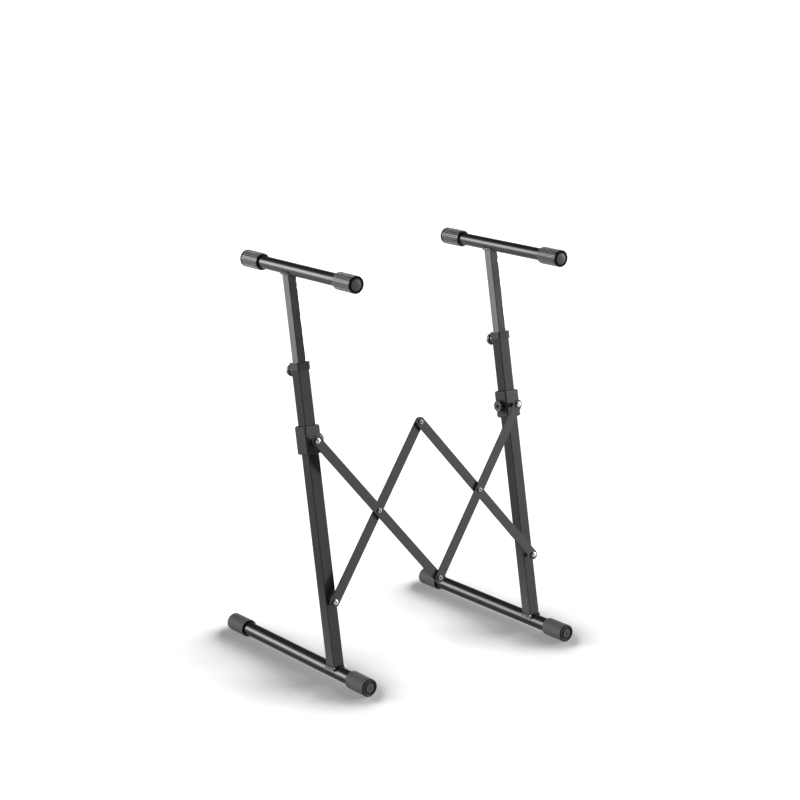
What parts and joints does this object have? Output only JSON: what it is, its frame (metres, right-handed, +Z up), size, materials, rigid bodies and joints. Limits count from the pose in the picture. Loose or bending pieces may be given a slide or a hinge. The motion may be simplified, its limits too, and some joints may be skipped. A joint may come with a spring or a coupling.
{
  "type": "keyboard stand",
  "caption": "Folding music keyboard stand: T-shaped tube side frames with height-adjustable support arms, joined by a flat-bar lazy tong that sets the width.",
  "frame": {"origin": "on the floor, below the middle of the stand's bounding box", "axes": "+Z up, +X to the right as the player sits, +Y away from the player; the uprights lean back towards +Y"},
  "size_m": [0.5558, 0.4794, 0.8265],
  "materials": {
    "gloss_enamel": "gloss black enamel",
    "satin_coat": "satin black powder coat",
    "bar_coat": "flat black coat",
    "base_cap_rubber": "smooth grey rubber",
    "arm_cap_rubber": "ribbed dark rubber",
    "collar_nylon": "moulded black nylon",
    "knob_plastic": "moulded black plastic",
    "zinc_plate": "bright zinc plate",
    "black_nylon": "plain black nylon"
  },
  "bodies": {
    "left_frame": {"left_base_tube": "gloss_enamel", "left_base_cap_front": "base_cap_rubber", "left_base_cap_rear": "base_cap_rubber", "left_upright": "satin_coat", "left_height_collar": "collar_nylon", "left_lower_bolt": "zinc_plate", "left_lower_thin_nut": "zinc_plate", "left_lower_spacer": "black_nylon", "left_lower_rear_nut": "zinc_plate"},
    "left_riser": {"left_riser": "satin_coat", "left_riser_glide": "black_nylon", "left_support_arm": "gloss_enamel", "left_arm_cap_front": "arm_cap_rubber", "left_arm_cap_rear": "arm_cap_rubber"},
    "left_height_knob": {"left_height_knob": "knob_plastic", "left_height_screw": "zinc_plate"},
    "bar_b": {"bar_b": "bar_coat", "left_crossing_bolt": "zinc_plate", "left_crossing_washer": "black_nylon", "left_crossing_nut": "zinc_plate", "top_middle_bolt": "zinc_plate", "top_middle_washer": "black_nylon", "top_middle_nut": "zinc_plate"},
    "bar_a": {"bar_a": "bar_coat", "bottom_middle_bolt": "zinc_plate", "bottom_middle_washer": "black_nylon", "bottom_middle_nut": "zinc_plate"},
    "left_collar": {"left_tong_collar": "collar_nylon", "left_collar_bolt": "zinc_plate", "left_collar_thin_nut": "zinc_plate", "left_collar_spacer": "black_nylon"},
    "left_width_knob": {"left_width_knob": "knob_plastic", "left_width_screw": "zinc_plate"},
    "bar_c": {"bar_c": "bar_coat", "right_crossing_bolt": "zinc_plate", "right_crossing_washer": "black_nylon", "right_crossing_nut": "zinc_plate"},
    "bar_d": {"bar_d": "bar_coat"},
    "right_frame": {"right_base_tube": "gloss_enamel", "right_base_cap_front": "base_cap_rubber", "right_base_cap_rear": "base_cap_rubber", "right_upright": "satin_coat", "right_height_collar": "collar_nylon", "right_lower_bolt": "zinc_plate", "right_lower_thin_nut": "zinc_plate", "right_lower_spacer": "black_nylon", "right_lower_rear_nut": "zinc_plate"},
    "right_riser": {"right_riser": "satin_coat", "right_riser_glide": "black_nylon", "right_support_arm": "gloss_enamel", "right_arm_cap_front": "arm_cap_rubber", "right_arm_cap_rear": "arm_cap_rubber"},
    "right_height_knob": {"right_height_knob": "knob_plastic", "right_height_screw": "zinc_plate"},
    "right_collar": {"right_tong_collar": "collar_nylon", "right_collar_bolt": "zinc_plate", "right_collar_thin_nut": "zinc_plate", "right_collar_spacer": "black_nylon"},
    "right_width_knob": {"right_width_knob": "knob_plastic", "right_width_screw": "zinc_plate"}
  },
  "joints": [
    {"name": "tong_fold", "type": "hinge", "parent": "left_frame", "child": "bar_b", "pos_m": [-0.25965, -0.09904, 0.15751], "axis": [0, -0.9797, 0.2004], "range_deg": [-23, 31.8]},
    {"name": "left_crossing_turn", "type": "hinge", "parent": "bar_b", "child": "bar_a", "pos_m": [-0.12982, -0.06671, 0.31559], "axis": [0, -0.9797, 0.2004], "range_deg": [-63.6, 46]},
    {"name": "left_collar_turn", "type": "hinge", "parent": "bar_a", "child": "left_collar", "pos_m": [-0.25965, -0.03437, 0.47368], "axis": [0, -0.9797, 0.2004], "range_deg": [-23, 31.8]},
    {"name": "top_middle_turn", "type": "hinge", "parent": "bar_b", "child": "bar_c", "pos_m": [0, -0.03437, 0.47368], "axis": [0, -0.9797, 0.2004], "range_deg": [-63.6, 46]},
    {"name": "right_crossing_turn", "type": "hinge", "parent": "bar_c", "child": "bar_d", "pos_m": [0.12982, -0.06671, 0.31559], "axis": [0, -0.9797, 0.2004], "range_deg": [-46, 63.6]},
    {"name": "right_frame_turn", "type": "hinge", "parent": "bar_c", "child": "right_frame", "pos_m": [0.25965, -0.09904, 0.15751], "axis": [0, -0.9797, 0.2004], "range_deg": [-23, 31.8]},
    {"name": "right_collar_turn", "type": "hinge", "parent": "bar_d", "child": "right_collar", "pos_m": [0.25965, -0.03437, 0.47368], "axis": [0, -0.9797, 0.2004], "range_deg": [-31.8, 23]},
    {"name": "left_riser_slide", "type": "slide", "parent": "left_frame", "child": "left_riser", "axis": [0, 0.2004, 0.9797], "range_m": [-0.16, 0.15]},
    {"name": "right_riser_slide", "type": "slide", "parent": "right_frame", "child": "right_riser", "axis": [0, 0.2004, 0.9797], "range_m": [-0.16, 0.15]},
    {"name": "left_height_knob_turn", "type": "hinge", "parent": "left_frame", "child": "left_height_knob", "pos_m": [-0.25965, -0.00611, 0.61185], "axis": [0, 0.9797, -0.2004], "range_deg": [0, 270]},
    {"name": "right_height_knob_turn", "type": "hinge", "parent": "right_frame", "child": "right_height_knob", "pos_m": [0.25965, -0.00611, 0.61185], "axis": [0, 0.9797, -0.2004], "range_deg": [0, 270]},
    {"name": "left_width_knob_turn", "type": "hinge", "parent": "left_collar", "child": "left_width_knob", "pos_m": [-0.25965, -0.03437, 0.47368], "axis": [1, 0, 0], "range_deg": [0, 270]},
    {"name": "right_width_knob_turn", "type": "hinge", "parent": "right_collar", "child": "right_width_knob", "pos_m": [0.25965, -0.03437, 0.47368], "axis": [-1, 0, 0], "range_deg": [0, 270]}
  ],
  "couplings": [
    {"joint": "left_crossing_turn", "follows": "tong_fold", "ratio": -2},
    {"joint": "left_collar_turn", "follows": "tong_fold", "ratio": 1},
    {"joint": "top_middle_turn", "follows": "tong_fold", "ratio": -2},
    {"joint": "right_crossing_turn", "follows": "tong_fold", "ratio": 2},
    {"joint": "right_frame_turn", "follows": "tong_fold", "ratio": 1},
    {"joint": "right_collar_turn", "follows": "tong_fold", "ratio": -1}
  ]
}
